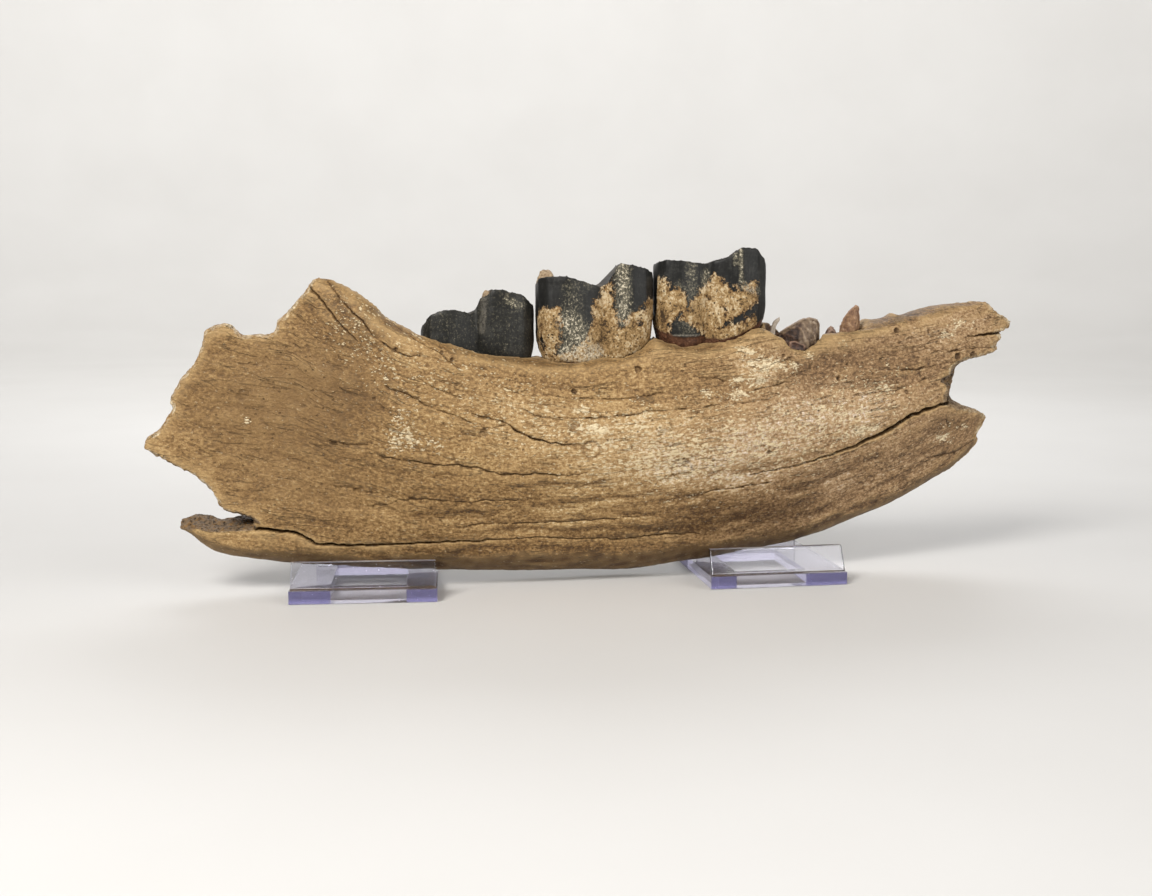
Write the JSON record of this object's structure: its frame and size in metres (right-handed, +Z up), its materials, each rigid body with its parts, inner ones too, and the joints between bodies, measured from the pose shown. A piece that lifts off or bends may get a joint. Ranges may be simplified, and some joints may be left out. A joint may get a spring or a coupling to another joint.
{
  "type": "fossil rhinoceros jaw",
  "caption": "Right half of a fossil lower jaw with worn cheek teeth, broken at both ends, held upright by clear display stands.",
  "frame": {"origin": "on the surface that the stands rest on, under the middle of the whole piece's box", "axes": "+X along the jaw to its front end, -Y the outer cheek side, +Z up"},
  "size_m": [0.3815, 0.0804, 0.1433],
  "materials": {
    "bone": null,
    "tooth": null,
    "root": "reddish-brown fossil tooth root, dull",
    "clear_plastic": "clear acrylic, faint lavender at its thick edges"
  },
  "bodies": {
    "root": {"jaw_bone": "bone", "third_molar": "tooth", "second_molar": "tooth", "first_molar": "tooth", "root_shell_rear": "root", "root_stub": "root", "root_shell_front": "root", "root_sliver": "root", "root_splinter": "root", "rear_stand_base": "clear_plastic", "rear_stand_lip": "clear_plastic", "rear_stand_back_rest": "clear_plastic", "front_stand_base": "clear_plastic", "front_stand_lip": "clear_plastic", "front_stand_back_rest": "clear_plastic"}
  },
  "joints": []
}
